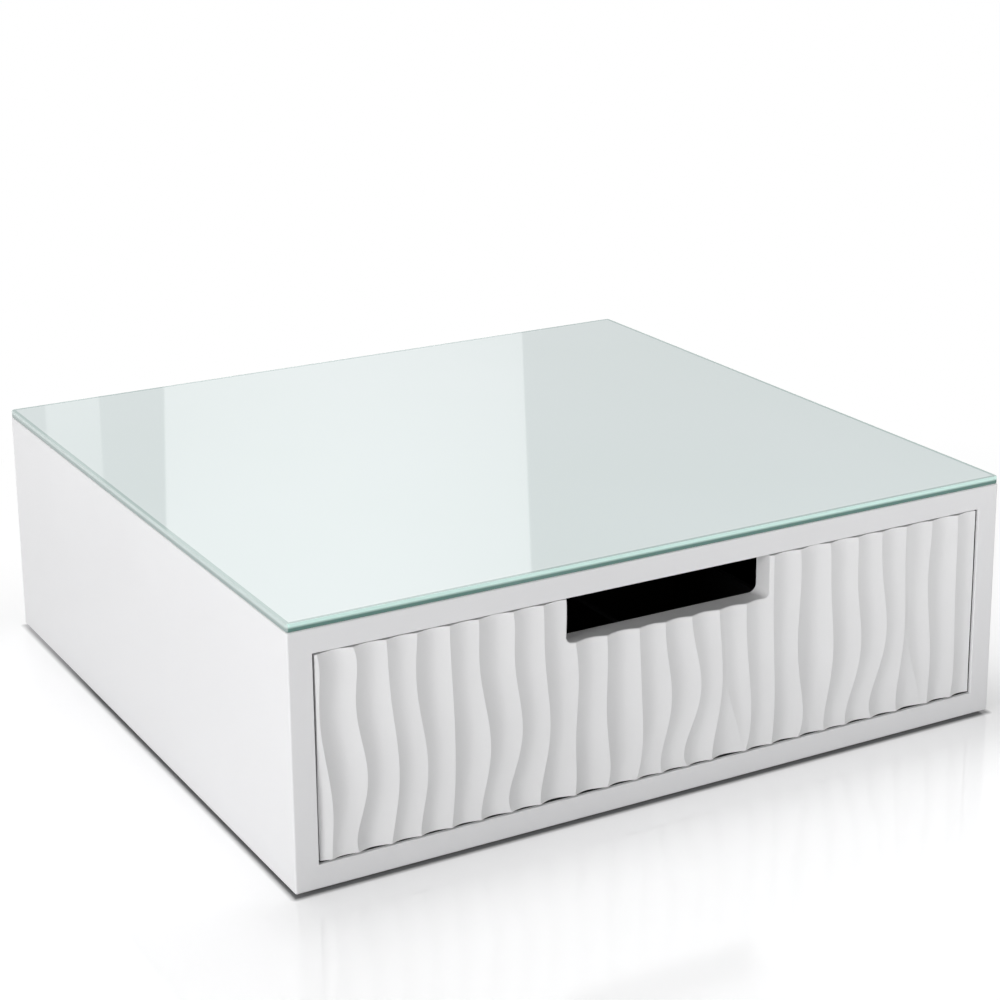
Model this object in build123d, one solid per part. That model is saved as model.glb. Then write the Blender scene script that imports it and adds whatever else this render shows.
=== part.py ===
from build123d import *
import os

# Coffee pod drawer: a mitred, lacquered board box with a glass top and one inset drawer.
# Millimetres. X runs to the right, Y to the back and Z up. The origin is on the table,
# under the middle of the box, and the drawer opens towards -Y.

# ---- box ----
WIDTH = 400.0
DEPTH = 380.0
BOX_HEIGHT = 126.0
BOARD = 12.0
FOOT_HEIGHT = 1.5
GLASS = 4.0
OUTER_EDGE_RADIUS = 1.0
OPENING_EDGE_RADIUS = 0.3

BACK_BOARD = 6.0
BACK_REVEAL = 6.0
GROOVE_DEPTH = 6.0
SPLINE_WIDTH = 10.0
SPLINE_THICKNESS = 3.0
SPLINE_SETBACK = 10.0

GLASS_CORNER_RADIUS = 2.0
GLASS_ARRIS = 0.4
BONDING_DISC_RADIUS = 7.0
BONDING_DISC_THICKNESS = 0.5
BONDING_DISC_INSET = 40.0

FOOT_RADIUS = 9.0
FOOT_INSET = 22.0
FOOT_EDGE_RADIUS = 0.4

FRONT_Y = -DEPTH / 2
REAR_Y = DEPTH / 2
BOX_BOTTOM = FOOT_HEIGHT
BOX_TOP = BOX_BOTTOM + BOX_HEIGHT
INNER_X = WIDTH / 2 - BOARD
INNER_BOTTOM = BOX_BOTTOM + BOARD
INNER_TOP = BOX_TOP - BOARD
BACK_BOARD_REAR = REAR_Y - BACK_REVEAL
BACK_BOARD_FRONT = BACK_BOARD_REAR - BACK_BOARD

# ---- carved drawer front ----
SIDE_GAP = 1.2
FRONT_GAP = 1.0
FRONT_WIDTH = 2 * (INNER_X - SIDE_GAP)
FRONT_BOTTOM = INNER_BOTTOM + FRONT_GAP
FRONT_TOP = INNER_TOP - FRONT_GAP
FRONT_HEIGHT = FRONT_TOP - FRONT_BOTTOM
FRONT_BACK_Y = FRONT_Y + BOARD
# The stock is this much larger than the finished front before it is trimmed.
STOCK_ALLOWANCE = 2.0

# Each flute is as deep as the scallop that a round cutter of this radius leaves between two crests.
CUTTER_RADIUS = 18.0
# Where across a flute, as shares of its width, its two curve handles stand, at the top edge and
# at the bottom edge. A flute is deepest near its middle at the top and left of its middle below.
HANDLES_TOP = (0.47, 0.62)
HANDLES_BOTTOM = (0.36, 0.47)
# How far below the face a half crest, one that starts inside a flute, stays.
HALF_CREST_DROP = 0.8
# A crest wanders sideways as it runs down. Each row is one crest: its distance from the
# front's left edge at six even levels, from the top edge down to the bottom edge.
CRESTS = [
    (-14.0, -13.5, -13.0, -12.0, -11.5, -12.0),
    (1.0, 1.5, 2.0, 5.0, 6.5, 5.5),
    (18.5, 19.5, 20.5, 24.0, 21.5, 19.0),
    (35.0, 36.0, 38.0, 40.0, 39.0, 35.5),
    (50.5, 49.5, 51.5, 54.5, 53.5, 50.5),
    (67.0, 67.5, 68.5, 69.0, 68.5, 66.5),
    (82.0, 82.0, 84.5, 87.5, 85.5, 82.0),
    (100.0, 100.5, 102.5, 104.5, 100.0, 98.5),
    (116.0, 116.5, 118.0, 119.5, 117.0, 114.0),
    (132.0, 133.0, 135.0, 134.0, 133.5, 133.0),
    (150.0, 150.5, 151.0, 150.5, 152.0, 151.0),
    (167.0, 168.5, 169.5, 170.5, 171.0, 167.5),
    (183.0, 183.5, 185.0, 187.5, 184.5, 182.0),
    (197.5, 198.5, 201.5, 204.5, 199.0, 197.0),
    (214.0, 214.5, 216.0, 217.0, 214.5, 211.5),
    (230.5, 230.5, 231.0, 233.0, 234.5, 231.5),
    (246.5, 246.5, 247.0, 248.0, 248.5, 247.0),
    (262.5, 263.0, 262.0, 262.5, 265.5, 263.5),
    (280.5, 281.5, 283.0, 284.0, 281.5, 279.5),
    (297.5, 298.0, 300.0, 301.5, 297.0, 293.0),
    (312.5, 313.5, 316.5, 317.0, 311.0, 309.5),
    (328.0, 328.0, 329.0, 329.0, 326.5, 325.5),
    (344.5, 343.5, 343.5, 345.5, 346.5, 345.5),
    (361.0, 361.5, 361.5, 362.0, 362.5, 361.0),
    (377.0, 377.5, 377.5, 378.0, 378.5, 377.5),
]
# Half crests fork off close beside a crest and drift across the flute to its right.
HALF_CRESTS = [
    (216.5, 217.0, 218.5, 220.0, 225.0, 228.5),
    (331.5, 332.0, 331.5, 332.0, 336.5, 341.0),
]

NOTCH_WIDTH = 115.0
NOTCH_DEPTH = 22.0
NOTCH_FACE_RADIUS = 2.5
NOTCH_BACK_RADIUS = 4.5
NOTCH_CUT_HEIGHT = 40.0
NOTCH_EDGE_RADIUS = 0.6
EDGE_TOLERANCE = 0.05

# ---- drawer box ----
RUNNER_THICKNESS = 10.0
DRAWER_SIDE = 9.0
DRAWER_SIDE_HEIGHT = 80.0
DRAWER_LIFT = 4.0
DRAWER_BOTTOM_BOARD = 4.0
DRAWER_BOTTOM_LIFT = 6.0
BOTTOM_GROOVE = 4.0
CLOSING_GAP = 4.0

DRAWER_X = INNER_X - RUNNER_THICKNESS
DRAWER_INNER_X = DRAWER_X - DRAWER_SIDE
DRAWER_REAR = BACK_BOARD_FRONT - CLOSING_GAP
DRAWER_INNER_REAR = DRAWER_REAR - DRAWER_SIDE
SIDE_BOTTOM = INNER_BOTTOM + DRAWER_LIFT
SIDE_TOP = SIDE_BOTTOM + DRAWER_SIDE_HEIGHT
FLOOR_BOTTOM = SIDE_BOTTOM + DRAWER_BOTTOM_LIFT
FLOOR_TOP = FLOOR_BOTTOM + DRAWER_BOTTOM_BOARD

DOWEL_RADIUS = 3.0
DOWEL_IN_FRONT = 7.0
DOWEL_IN_SIDE = 20.0
DOWEL_LEVELS = (34.0, 58.0, 84.0)

LINER = 1.5
LINER_CLEARANCE = 0.5
DIVIDER = 3.0
DIVIDER_HEIGHT = 46.0
DIVIDER_CLEARANCE = 0.4
LANES = 4
ROWS = 3

BUMPER_RADIUS = 5.0
BUMPER_THICKNESS = 3.6
BUMPER_X = 140.0
BUMPER_Z = 60.0

# ---- ball runners ----
RUNNER_Z = 54.0
RUNNER_SETBACK = 2.0
DRAWER_RAIL_SETBACK = 2.5
RUNNER_FRONT = FRONT_BACK_Y + RUNNER_SETBACK
CABINET_RAIL_LENGTH = 350.0
DRAWER_RAIL_LENGTH = 343.0
CABINET_RAIL_HEIGHT = 27.0
SHEET = 1.0
CABINET_FLANGE = 8.2
CABINET_LIP = 1.4
DRAWER_RAIL_HEIGHT = 16.2
DRAWER_FLANGE = 7.4
DRAWER_LIP = 1.2
DRAWER_LIP_SHEET = 0.7
BALL_RADIUS = 1.9
BALL_X = 5.1
BALL_Z = 10.3
BALL_PITCH = 24.0
BALLS_PER_ROW = 4
CAGE_LENGTH = 88.0
CAGE_SHEET = 0.6
CAGE_WEB_X = 1.3
CAGE_FLANGE_END = 7.0
CAGE_HOLE_RADIUS = 2.1
STOP_LENGTH = 6.0
STOP_HALF_HEIGHT = 9.0
DRAWER_RAIL_FRONT = FRONT_BACK_Y + DRAWER_RAIL_SETBACK
CAGE_MIDDLE = DRAWER_RAIL_FRONT + DRAWER_RAIL_LENGTH / 2

SCREW_RADIUS = 1.6
SCREW_HEAD_RADIUS = 3.2
SCREW_HEAD_HEIGHT = 1.6
CABINET_SCREW_LENGTH = 9.5
DRAWER_SCREW_LENGTH = 8.0
SCREW_OFFSETS = (30.0, 160.0, 310.0)
BACK_SCREW_LENGTH = 30.0
BACK_SCREW_LEVELS = (38.0, 76.0)


def block(x0, x1, y0, y1, z0, z1):
    """A box from its low corner to its high corner."""
    size = (x1 - x0, y1 - y0, z1 - z0)
    return Pos(x0, y0, z0) * Box(*size, align=(Align.MIN, Align.MIN, Align.MIN))


def bar(outline, y0, y1):
    """A bar along Y, with the outline given as (x, z) points."""
    face = make_face(Polyline(*outline, close=True))
    return extrude(Plane.XZ.offset(-y1) * face, amount=y1 - y0)


def mirrored(shape):
    """The same piece on the other side of the box."""
    return mirror(shape, about=Plane.YZ)


def rod(start, direction, radius, length):
    """A round rod that starts at a point and runs along a direction."""
    plane = Plane(origin=start, z_dir=direction)
    return extrude(plane * Circle(radius), amount=length)


def group(shapes):
    """Several like pieces that share one node, each its own solid."""
    return Compound(children=[solid for shape in shapes for solid in shape.solids()])


# ---- box ----
def back_panel():
    reach = INNER_X + GROOVE_DEPTH
    return block(-reach, reach, BACK_BOARD_FRONT, BACK_BOARD_REAR,
                 INNER_BOTTOM - GROOVE_DEPTH, INNER_TOP + GROOVE_DEPTH)


def mitre_splines():
    """Plywood tongues, square to each mitre and stopped short of the front and of the back board."""
    y0 = FRONT_Y + SPLINE_SETBACK
    y1 = BACK_BOARD_FRONT - SPLINE_SETBACK
    middle_x = WIDTH / 2 - BOARD / 2
    tongues = []
    for side in (-1, 1):
        for z, slope in ((BOX_BOTTOM + BOARD / 2, -1), (BOX_TOP - BOARD / 2, 1)):
            tongue = Box(SPLINE_WIDTH, y1 - y0, SPLINE_THICKNESS)
            tilt = Rot(0, -45 * side * slope, 0)
            tongues.append(Pos(side * middle_x, (y0 + y1) / 2, z) * tilt * tongue)
    return group(tongues)


def bonding_disc_places():
    reach_x = WIDTH / 2 - BONDING_DISC_INSET
    reach_y = DEPTH / 2 - BONDING_DISC_INSET
    return [(x, y) for x in (-reach_x, reach_x) for y in (-reach_y, reach_y)]


def glass_bonding_discs():
    """Thin clear discs, let in flush, that hold the glass down."""
    base = BOX_TOP - BONDING_DISC_THICKNESS
    return group([rod((x, y, base), (0, 0, 1), BONDING_DISC_RADIUS, BONDING_DISC_THICKNESS)
                  for x, y in bonding_disc_places()])


def box_shell():
    """The whole box after glue-up and sanding: four boards with their edges eased."""
    middle_z = BOX_BOTTOM + BOX_HEIGHT / 2
    outer = Pos(0, 0, middle_z) * Box(WIDTH, DEPTH, BOX_HEIGHT)
    outer = fillet(outer.edges(), OUTER_EDGE_RADIUS)
    bay = Pos(0, 0, middle_z) * Box(2 * INNER_X, DEPTH, BOX_HEIGHT - 2 * BOARD)
    shell = outer - bay
    front = shell.faces().sort_by(Axis.Y)[0]
    rim = front.inner_wires()[0].edges()
    return fillet(rim, OPENING_EDGE_RADIUS)


def mitred_boards():
    """The box cut apart along its 45-degree mitres: left, right, base, top."""
    shell = box_shell() - back_panel() - mitre_splines() - glass_bonding_discs()
    out = BOARD / 2
    inward = 2 * BOARD
    left, right = -WIDTH / 2, WIDTH / 2
    low, high = BOX_BOTTOM, BOX_TOP
    y0, y1 = FRONT_Y - out, REAR_Y + out
    side = bar([(left - out, low - out), (left + inward, low + inward),
                (left + inward, high - inward), (left - out, high + out)], y0, y1)
    slab = bar([(left - out, low - out), (right + out, low - out),
                (right - inward, low + inward), (left + inward, low + inward)], y0, y1)
    over = mirror(slab, about=Plane.XY.offset((low + high) / 2))
    return shell & side, shell & mirrored(side), shell & slab, shell & over


def glass_top():
    plate = Pos(0, 0, BOX_TOP) * extrude(RectangleRounded(WIDTH, DEPTH, GLASS_CORNER_RADIUS), GLASS)
    rims = plate.faces().sort_by(Axis.Z)[0].edges() + plate.faces().sort_by(Axis.Z)[-1].edges()
    return chamfer(rims, GLASS_ARRIS)


def foot(side, end):
    """A thin round pad stuck under a corner; side and end are -1 or 1."""
    pad = extrude(Circle(FOOT_RADIUS), FOOT_HEIGHT)
    pad = fillet(pad.edges().group_by(Axis.Z)[0], FOOT_EDGE_RADIUS)
    return Pos(side * (WIDTH / 2 - FOOT_INSET), end * (DEPTH / 2 - FOOT_INSET), 0) * pad


def rear_bumper():
    """A domed pad on the back board that the drawer closes against."""
    start = (-BUMPER_X, BACK_BOARD_FRONT, BUMPER_Z)
    pad = rod(start, (0, -1, 0), BUMPER_RADIUS, BUMPER_THICKNESS)
    return fillet(pad.edges().group_by(Axis.Y)[0], BUMPER_THICKNESS / 2)


# ---- carved front ----
def crest_rows():
    """Every crest from left to right, as (levels, drop below the face)."""
    rows = [(levels, 0.0) for levels in CRESTS]
    rows += [(levels, HALF_CREST_DROP) for levels in HALF_CRESTS]
    return sorted(rows, key=lambda row: row[0][0])


def flute(start, end, down):
    """The floor of one flute from crest to crest; down runs from 0 at the top edge to 1 at the bottom."""
    (x0, y0), (x1, y1) = start, end
    width = x1 - x0
    depth = width ** 2 / (8 * CUTTER_RADIUS)
    # A cubic curve reaches three quarters of the way to its handles.
    handle = 4 / 3 * depth
    slope = (y1 - y0) / width
    shares = [top + (bottom - top) * down for top, bottom in zip(HANDLES_TOP, HANDLES_BOTTOM)]
    handles = [(x0 + share * width, y0 + share * width * slope + handle) for share in shares]
    return Bezier(start, *handles, end)


def relief_wire(level):
    """The fluted stock cut through at one level, seen from above."""
    crests = [(levels[level] - FRONT_WIDTH / 2, FRONT_Y + drop) for levels, drop in crest_rows()]
    down = level / (len(CRESTS[0]) - 1)
    back = FRONT_BACK_Y + STOCK_ALLOWANCE
    curves = [flute(start, end, down) for start, end in zip(crests, crests[1:])]
    curves.append(Polyline(crests[-1], (crests[-1][0], back), (crests[0][0], back), crests[0]))
    plane = Plane.XY.offset(FRONT_TOP - down * FRONT_HEIGHT)
    return plane * Wire([edge for curve in curves for edge in curve.edges()])


def notch():
    """The finger notch; its lower corners open out from a small round to a large one."""
    middle = FRONT_TOP - NOTCH_DEPTH + NOTCH_CUT_HEIGHT / 2
    sections = []
    for y, radius in ((FRONT_Y, NOTCH_FACE_RADIUS), (FRONT_BACK_Y, NOTCH_BACK_RADIUS)):
        plane = Plane.XZ.offset(-y)
        sections.append(plane * Pos(0, middle, 0) * RectangleRounded(NOTCH_WIDTH, NOTCH_CUT_HEIGHT, radius))
    return loft(sections)


def notch_mouth(board):
    """The edges along which the notch runs out through the carved face."""
    reach = NOTCH_WIDTH / 2 + EDGE_TOLERANCE
    lip = FRONT_TOP - NOTCH_DEPTH - EDGE_TOLERANCE
    mouth = []
    for edge in board.edges():
        box = edge.bounding_box()
        if box.min.X > -reach and box.max.X < reach and box.min.Z > lip and box.max.Y < FRONT_Y + BOARD / 2:
            mouth.append(edge)
    return mouth


def drawer_front():
    """The carved board: fluted stock trimmed to size, notched, eased, grooved and drilled."""
    stock = Solid.make_loft([relief_wire(level) for level in range(len(CRESTS[0]))])
    reach = FRONT_WIDTH / 2
    over = STOCK_ALLOWANCE / 2
    board = block(-reach, reach, FRONT_Y - over, FRONT_BACK_Y, FRONT_BOTTOM - over, FRONT_TOP + over)
    board = (board & stock) - notch()
    board = fillet(notch_mouth(board), NOTCH_EDGE_RADIUS)
    return board - drawer_bottom() - front_dowels()


# ---- drawer box ----
def drawer_left_side():
    side = block(-DRAWER_X, -DRAWER_INNER_X, FRONT_BACK_Y, DRAWER_REAR, SIDE_BOTTOM, SIDE_TOP)
    return side - drawer_bottom() - front_dowels() - back_screws() - left_drawer_rail_screws()


def drawer_back():
    back = block(-DRAWER_INNER_X, DRAWER_INNER_X, DRAWER_INNER_REAR, DRAWER_REAR, SIDE_BOTTOM, SIDE_TOP)
    return back - drawer_bottom() - back_screws()


def drawer_bottom():
    """The thin board that sits in grooves on all four sides."""
    reach = DRAWER_INNER_X + BOTTOM_GROOVE
    return block(-reach, reach, FRONT_BACK_Y - BOTTOM_GROOVE, DRAWER_INNER_REAR + BOTTOM_GROOVE,
                 FLOOR_BOTTOM, FLOOR_TOP)


def front_dowels():
    x = DRAWER_X - DRAWER_SIDE / 2
    y = FRONT_BACK_Y - DOWEL_IN_FRONT
    return group([rod((side * x, y, z), (0, 1, 0), DOWEL_RADIUS, DOWEL_IN_FRONT + DOWEL_IN_SIDE)
                  for side in (-1, 1) for z in DOWEL_LEVELS])


def flush_screw(start, direction, length):
    """A countersunk screw; start is the middle of its head's flat face."""
    plane = Plane(origin=start, z_dir=direction)
    outline = Polyline((0, 0), (SCREW_HEAD_RADIUS, 0), (SCREW_RADIUS, SCREW_HEAD_HEIGHT),
                       (SCREW_RADIUS, length - SCREW_RADIUS), (0, length), close=True)
    return plane * revolve(Plane.XZ * make_face(outline), Axis.Z)


def back_screws():
    y = DRAWER_REAR - DRAWER_SIDE / 2
    return group([flush_screw((side * DRAWER_X, y, z), (-side, 0, 0), BACK_SCREW_LENGTH)
                  for side in (-1, 1) for z in BACK_SCREW_LEVELS])


def drawer_liner():
    gap = LINER_CLEARANCE
    return block(-DRAWER_INNER_X + gap, DRAWER_INNER_X - gap, FRONT_BACK_Y + gap, DRAWER_INNER_REAR - gap,
                 FLOOR_TOP, FLOOR_TOP + LINER)


def divider_lines(count, low, high):
    """Middles of the dividers that part a width into count equal spaces."""
    space = (high - low - (count - 1) * DIVIDER) / count
    return [low + (i + 1) * (space + DIVIDER) - DIVIDER / 2 for i in range(count - 1)]


def long_divider(x):
    """A divider that runs front to back, slotted from above for the cross dividers."""
    base = FLOOR_TOP + LINER
    gap = DIVIDER_CLEARANCE
    board = block(x - DIVIDER / 2, x + DIVIDER / 2, FRONT_BACK_Y + gap, DRAWER_INNER_REAR - gap,
                  base, base + DIVIDER_HEIGHT)
    for y in divider_lines(ROWS, FRONT_BACK_Y, DRAWER_INNER_REAR):
        board -= block(x - DIVIDER, x + DIVIDER, y - DIVIDER / 2, y + DIVIDER / 2,
                       base + DIVIDER_HEIGHT / 2, base + DIVIDER_HEIGHT)
    return board


def cross_divider(y):
    """A divider that runs side to side, slotted from below over the long dividers."""
    base = FLOOR_TOP + LINER
    reach = DRAWER_INNER_X - DIVIDER_CLEARANCE
    board = block(-reach, reach, y - DIVIDER / 2, y + DIVIDER / 2, base, base + DIVIDER_HEIGHT)
    for x in divider_lines(LANES, -DRAWER_INNER_X, DRAWER_INNER_X):
        board -= block(x - DIVIDER / 2, x + DIVIDER / 2, y - DIVIDER, y + DIVIDER,
                       base, base + DIVIDER_HEIGHT / 2)
    return board


# ---- ball runners, left-hand; x is counted from the side board's inner face ----
def channel(points, y0, y1):
    """A folded sheet section, the same above and below the runner's middle line."""
    upper = [(x - INNER_X, RUNNER_Z + z) for x, z in points]
    lower = [(x - INNER_X, RUNNER_Z - z) for x, z in reversed(points)]
    return bar(upper + lower, y0, y1)


def left_cabinet_rail():
    """The wide channel on the side board; its lips keep the balls in."""
    top = CABINET_RAIL_HEIGHT / 2
    inside = top - SHEET
    edge = CABINET_FLANGE
    section = [(0, top), (edge, top), (edge, inside - CABINET_LIP),
               (edge - SHEET, inside - CABINET_LIP), (edge - SHEET, inside), (SHEET, inside)]
    rail = channel(section, RUNNER_FRONT, RUNNER_FRONT + CABINET_RAIL_LENGTH)
    return rail - left_cabinet_rail_screws()


def left_drawer_rail():
    """The narrow channel on the drawer side, which faces the wide one."""
    top = DRAWER_RAIL_HEIGHT / 2
    inside = top - SHEET
    back = RUNNER_THICKNESS
    edge = back - DRAWER_FLANGE
    lip = edge + DRAWER_LIP_SHEET
    section = [(back, top), (lip, top), (lip, top + DRAWER_LIP),
               (edge, top + DRAWER_LIP), (edge, inside), (back - SHEET, inside)]
    rail = channel(section, DRAWER_RAIL_FRONT, DRAWER_RAIL_FRONT + DRAWER_RAIL_LENGTH)
    return rail - left_drawer_rail_screws()


def left_cabinet_rail_screws():
    x = SHEET - INNER_X
    return group([flush_screw((x, RUNNER_FRONT + offset, RUNNER_Z), (-1, 0, 0), CABINET_SCREW_LENGTH)
                  for offset in SCREW_OFFSETS])


def left_drawer_rail_screws():
    x = RUNNER_THICKNESS - SHEET - INNER_X
    return group([flush_screw((x, RUNNER_FRONT + offset, RUNNER_Z), (1, 0, 0), DRAWER_SCREW_LENGTH)
                  for offset in SCREW_OFFSETS])


def left_rail_stop():
    """A nylon block in the rear end of the wide channel."""
    rear = RUNNER_FRONT + CABINET_RAIL_LENGTH
    x = SHEET - INNER_X
    return block(x, x + CABINET_FLANGE - SHEET, rear - STOP_LENGTH, rear,
                 RUNNER_Z - STOP_HALF_HEIGHT, RUNNER_Z + STOP_HALF_HEIGHT)


def ball_centres():
    """Balls run in two rows, above and below, in the middle of the rails' shared length."""
    half = (BALLS_PER_ROW - 1) / 2
    return [(BALL_X - INNER_X, CAGE_MIDDLE + (i - half) * BALL_PITCH, RUNNER_Z + side * BALL_Z)
            for side in (-1, 1) for i in range(BALLS_PER_ROW)]


def left_balls():
    return group([Pos(*centre) * Sphere(BALL_RADIUS) for centre in ball_centres()])


def left_ball_cage():
    """The thin strip that spaces the balls and moves at half the drawer's speed."""
    top = BALL_Z + CAGE_SHEET / 2
    inside = top - CAGE_SHEET
    web = CAGE_WEB_X
    section = [(web, top), (CAGE_FLANGE_END, top), (CAGE_FLANGE_END, inside), (web + CAGE_SHEET, inside)]
    cage = channel(section, CAGE_MIDDLE - CAGE_LENGTH / 2, CAGE_MIDDLE + CAGE_LENGTH / 2)
    for x, y, z in ball_centres():
        cage -= rod((x, y, z - CAGE_SHEET), (0, 0, 1), CAGE_HOLE_RADIUS, 2 * CAGE_SHEET)
    return cage


# ---- all pieces ----
def all_pieces():
    left, right, base, top = mitred_boards()
    cabinet_screws = left_cabinet_rail_screws()
    drawer_screws = left_drawer_rail_screws()
    left_bumper = rear_bumper()
    long_lines = divider_lines(LANES, -DRAWER_INNER_X, DRAWER_INNER_X)
    cross_lines = divider_lines(ROWS, FRONT_BACK_Y, DRAWER_INNER_REAR)
    pieces = {
        "left_side_panel": left - cabinet_screws,
        "right_side_panel": right - mirrored(cabinet_screws),
        "base_panel": base,
        "top_panel": top,
        "back_panel": back_panel(),
        "mitre_splines": mitre_splines(),
        "glass_bonding_discs": glass_bonding_discs(),
        "glass_top": glass_top(),
        "foot_front_left": foot(-1, -1),
        "foot_front_right": foot(1, -1),
        "foot_rear_left": foot(-1, 1),
        "foot_rear_right": foot(1, 1),
        "left_rear_bumper": left_bumper,
        "right_rear_bumper": mirrored(left_bumper),
        "cabinet_rail_screws": group([cabinet_screws, mirrored(cabinet_screws)]),
        "drawer_front": drawer_front(),
        "drawer_back": drawer_back(),
        "drawer_bottom": drawer_bottom(),
        "front_dowels": front_dowels(),
        "back_screws": back_screws(),
        "drawer_rail_screws": group([drawer_screws, mirrored(drawer_screws)]),
        "drawer_liner": drawer_liner(),
        "front_cross_divider": cross_divider(cross_lines[0]),
        "rear_cross_divider": cross_divider(cross_lines[1]),
    }
    for name, x in zip(("left", "middle", "right"), long_lines):
        pieces[name + "_long_divider"] = long_divider(x)
    handed = {
        "cabinet_rail": left_cabinet_rail(),
        "rail_stop": left_rail_stop(),
        "drawer_rail": left_drawer_rail(),
        "ball_cage": left_ball_cage(),
        "balls": left_balls(),
    }
    for name, shape in handed.items():
        pieces["left_" + name] = shape
        pieces["right_" + name] = mirrored(shape)
    pieces["drawer_left_side"] = drawer_left_side()
    pieces["drawer_right_side"] = mirrored(pieces["drawer_left_side"])
    return pieces


os.makedirs("parts", exist_ok=True)
for node, shape in all_pieces().items():
    export_step(shape, f"parts/{node}.step")
    print(node, len(shape.solids()), round(sum(solid.volume for solid in shape.solids()) / 1000, 2), "cm3")
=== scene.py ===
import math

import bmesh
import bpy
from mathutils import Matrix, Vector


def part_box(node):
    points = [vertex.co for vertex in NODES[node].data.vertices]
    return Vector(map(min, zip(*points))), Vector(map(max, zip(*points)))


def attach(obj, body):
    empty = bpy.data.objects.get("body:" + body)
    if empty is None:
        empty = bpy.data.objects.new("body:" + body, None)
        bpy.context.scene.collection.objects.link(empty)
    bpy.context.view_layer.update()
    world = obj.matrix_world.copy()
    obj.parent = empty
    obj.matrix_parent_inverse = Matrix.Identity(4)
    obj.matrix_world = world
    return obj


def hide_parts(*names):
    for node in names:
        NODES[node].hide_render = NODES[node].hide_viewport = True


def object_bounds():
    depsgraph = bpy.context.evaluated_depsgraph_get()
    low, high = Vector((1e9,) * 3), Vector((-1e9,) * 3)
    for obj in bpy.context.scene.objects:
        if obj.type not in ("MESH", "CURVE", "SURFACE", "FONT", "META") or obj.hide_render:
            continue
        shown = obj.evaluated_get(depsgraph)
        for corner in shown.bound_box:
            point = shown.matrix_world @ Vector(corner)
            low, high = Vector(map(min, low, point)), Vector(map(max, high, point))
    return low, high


bl_info = {
    "name": "Coffee Pod Drawer",
    "version": (1, 0, 0),
    "blender": (4, 5, 0),
    "location": "3D View > Sidebar > Pod Drawer",
    "description": "Finishes a packed coffee pod drawer and sets it on a plain white stage",
    "category": "Object",
}

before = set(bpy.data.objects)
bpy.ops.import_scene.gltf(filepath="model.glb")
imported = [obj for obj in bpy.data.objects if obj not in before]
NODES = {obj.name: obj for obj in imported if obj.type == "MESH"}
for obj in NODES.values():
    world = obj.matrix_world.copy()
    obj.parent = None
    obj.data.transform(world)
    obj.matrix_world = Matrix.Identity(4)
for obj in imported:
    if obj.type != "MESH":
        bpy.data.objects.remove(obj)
CAD_BOX = [list(corner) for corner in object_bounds()]
MM = 0.001
BOX_HALF_WIDTH, BOX_HALF_DEPTH = CAD_BOX[1][:2]
# Where along Y the rails' screws and slots are.
RAIL_SCREWS = (-0.146, -0.016, 0.134)
RAIL_SLOTS = (-0.118, -0.072, 0.030, 0.084)
RAIL_HOLE_RADIUS = 3.3 * MM
FELT_THICKNESS = 1.2 * MM
# The black painted on the bay's faces, partly a black inside and partly painted shade in the gaps round the drawer
# front, starts this far behind the front's face, reaches this far past the front's edges, and ends this far into the
# back board.
BAY_START = 2.0 * MM
BAY_SHADE_GAP = 1.35 * MM
BAY_END = 0.5 * MM


def colour(name, description, value):
    return bpy.props.FloatVectorProperty(
        name=name, description=description, subtype="COLOR", size=3, min=0.0, max=1.0, default=value)


def length(name, description, value):
    return bpy.props.FloatProperty(
        name=name, description=description, unit="LENGTH", min=0.0, precision=5, default=value)


def number(name, description, value):
    return bpy.props.FloatProperty(name=name, description=description, min=0.0, default=value)


class PodDrawerColours(bpy.types.PropertyGroup):
    """Colours of the finishes."""
    lacquer: colour("Lacquer", "Satin white on the box", (0.84, 0.84, 0.85))
    carved: colour("Carved front", "Satin white on the carved front", (0.83, 0.83, 0.835))
    glass: colour("Glass", "The plate seen from above", (0.89, 1.0, 0.99))
    # The next six glass colours are painted light: a band of painted shade and a painted highlight line inside the
    # rim, and painted light over painted shade on the upper and lower halves of the edges.
    glass_rim_painted_shade: colour("Glass rim", "The band just inside the plate's edge, from above", (0.50, 0.66, 0.63))
    glass_line_painted_highlight: colour("Glass line", "The lit line where that band ends", (0.86, 0.97, 0.96))
    edge_painted_light: colour("Lit edge", "Upper half of the front and back edges", (0.74, 1.0, 0.93))
    edge_painted_shade: colour("Deep edge", "Lower half of the front and back edges", (0.11, 0.23, 0.20))
    side_edge_painted_light: colour("Lit side edge", "Upper half of the left and right edges", (0.60, 0.70, 0.68))
    side_edge_painted_shade: colour("Deep side edge", "Lower half of the left and right edges", (0.30, 0.38, 0.365))
    # This black is also painted on the bay's faces of the white boards, where it is partly painted shade.
    black: colour("Black board", "Faced board inside the drawer", (0.012, 0.012, 0.013))
    felt: colour("Felt", "The mat in the drawer", (0.011, 0.011, 0.012))
    zinc: colour("Zinc", "Plated rails and screws", (0.62, 0.64, 0.66))


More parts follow.
